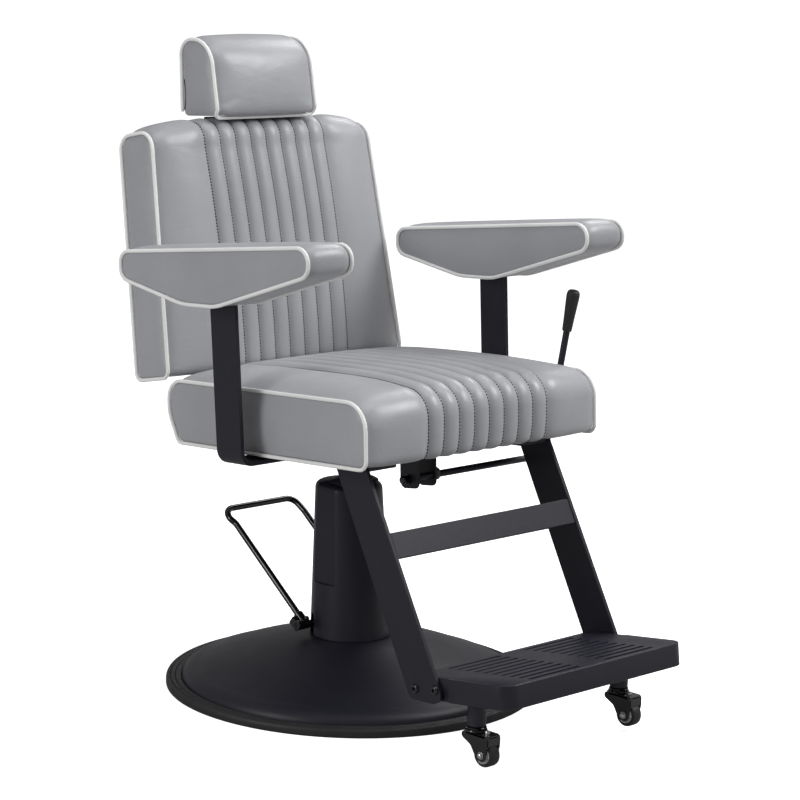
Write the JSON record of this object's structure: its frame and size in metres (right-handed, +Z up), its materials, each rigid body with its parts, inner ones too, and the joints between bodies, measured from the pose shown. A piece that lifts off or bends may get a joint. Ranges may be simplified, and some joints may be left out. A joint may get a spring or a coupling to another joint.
{
  "type": "hydraulic barber chair",
  "caption": "Hydraulic barber chair with a round pedestal base, pump pedal, reclining padded back, headrest, padded arms and a slotted footrest on casters.",
  "frame": {"origin": "centre of the round base, on the floor", "axes": "+Z up along the pump and swivel axis, -Y the way the sitter faces, +X the sitter's left"},
  "size_m": [0.752, 0.9496, 1.1333],
  "materials": {
    "upholstery": "satin",
    "piping": "satin",
    "black_steel": "satin",
    "gloss_black": "gloss",
    "bright_steel": "satin",
    "cast_metal": "matte",
    "rubber": "matte",
    "painted_board": "satin"
  },
  "bodies": {
    "base": {"base_plate": "black_steel", "base_trim_ring": "rubber", "base_dome": "black_steel", "pump_body": "cast_metal", "ram_cylinder": "bright_steel", "pump_gland": "cast_metal", "wiper_seal": "rubber", "pump_cover": "black_steel", "flange_bolt_1": "bright_steel", "flange_bolt_2": "bright_steel", "flange_bolt_3": "bright_steel"},
    "lift": {"lift_ram": "bright_steel", "swivel_bearing": "bright_steel"},
    "pedal": {"pedal_shaft": "bright_steel", "pedal_cam": "cast_metal", "pedal_hub_left": "gloss_black", "pedal_hub_right": "gloss_black", "pedal_loop": "gloss_black"},
    "plunger": {"pump_plunger": "bright_steel", "plunger_spring": "bright_steel"},
    "seat": {"swivel_head": "cast_metal", "seat_frame": "black_steel", "seat_board": "painted_board", "seat_cushion": "upholstery", "arm_bracket_left": "black_steel", "arm_bracket_right": "black_steel", "armrest_left": "upholstery", "armrest_right": "upholstery", "footrest_bar_left": "black_steel", "footrest_bar_right": "black_steel", "footrest_bolt_left_lower": "black_steel", "footrest_bolt_left_upper": "black_steel", "footrest_bolt_right_lower": "black_steel", "footrest_bolt_right_upper": "black_steel", "footrest_crossbar": "black_steel", "foot_plate": "black_steel", "recline_bracket": "black_steel", "recline_bracket_pin": "bright_steel", "hinge_bracket_left": "black_steel", "hinge_bracket_right": "black_steel", "hinge_pin_left": "bright_steel", "hinge_pin_right": "bright_steel", "strut_cylinder": "black_steel"},
    "recline_handle": {"recline_lever": "gloss_black", "recline_grip": "rubber", "recline_cam": "cast_metal"},
    "strut_rod_body": {"strut_rod": "bright_steel"},
    "backrest": {"back_frame": "black_steel", "back_cushion": "upholstery", "back_rear_panel": "upholstery", "headrest_guide": "black_steel"},
    "headrest": {"headrest_cushion": "upholstery", "headrest_bar": "black_steel"},
    "caster_left": {"caster_fork_left": "gloss_black"},
    "caster_right": {"caster_fork_right": "gloss_black"},
    "caster_wheel_left": {"caster_tyre_left": "rubber", "caster_hub_left": "bright_steel"},
    "caster_wheel_right": {"caster_tyre_right": "rubber", "caster_hub_right": "bright_steel"}
  },
  "joints": [
    {"name": "lift", "type": "slide", "parent": "base", "child": "lift", "axis": [0, 0, 1], "range_m": [0, 0.16]},
    {"name": "swivel", "type": "hinge", "parent": "lift", "child": "seat", "pos_m": [0, 0, 0.4], "axis": [0, 0, 1], "continuous": true},
    {"name": "recline", "type": "hinge", "parent": "seat", "child": "backrest", "pos_m": [0, 0.22488, 0.4911], "axis": [-1, 0, 0], "range_deg": [0, 45]},
    {"name": "strut_stroke", "type": "slide", "parent": "seat", "child": "strut_rod_body", "axis": [0, -0.9932, 0.1164], "range_m": [0, 0.085]},
    {"name": "headrest_height", "type": "slide", "parent": "backrest", "child": "headrest", "axis": [0, 0.2001, 0.9798], "range_m": [0, 0.1]},
    {"name": "recline_lever_pull", "type": "hinge", "parent": "seat", "child": "recline_handle", "pos_m": [0, -0.17201, 0.40795], "axis": [-1, 0, 0], "range_deg": [0, 12], "stiffness_Nm_per_rad": 3, "springref_deg": -17.19},
    {"name": "pedal_stroke", "type": "hinge", "parent": "base", "child": "pedal", "pos_m": [0, 0.04, 0.113], "axis": [-1, 0, 0], "range_deg": [0, 25], "stiffness_Nm_per_rad": 10, "springref_deg": -17.19},
    {"name": "plunger_stroke", "type": "slide", "parent": "base", "child": "plunger", "axis": [0, 0, -1], "range_m": [0, 0.0075], "deforming": ["plunger_spring"]},
    {"name": "caster_swivel_left", "type": "hinge", "parent": "seat", "child": "caster_left", "pos_m": [0.174, -0.48, 0.065], "axis": [0, 0, 1], "continuous": true},
    {"name": "caster_roll_left", "type": "hinge", "parent": "caster_left", "child": "caster_wheel_left", "pos_m": [0.174, -0.505, 0.0295], "axis": [1, 0, 0], "continuous": true},
    {"name": "caster_swivel_right", "type": "hinge", "parent": "seat", "child": "caster_right", "pos_m": [-0.174, -0.48, 0.065], "axis": [0, 0, 1], "continuous": true},
    {"name": "caster_roll_right", "type": "hinge", "parent": "caster_right", "child": "caster_wheel_right", "pos_m": [-0.174, -0.505, 0.0295], "axis": [1, 0, 0], "continuous": true}
  ],
  "couplings": [
    {"joint": "strut_stroke", "follows": "recline", "m_per_rad": 0.1033},
    {"joint": "plunger_stroke", "follows": "pedal_stroke", "m_per_rad": 0.016}
  ]
}
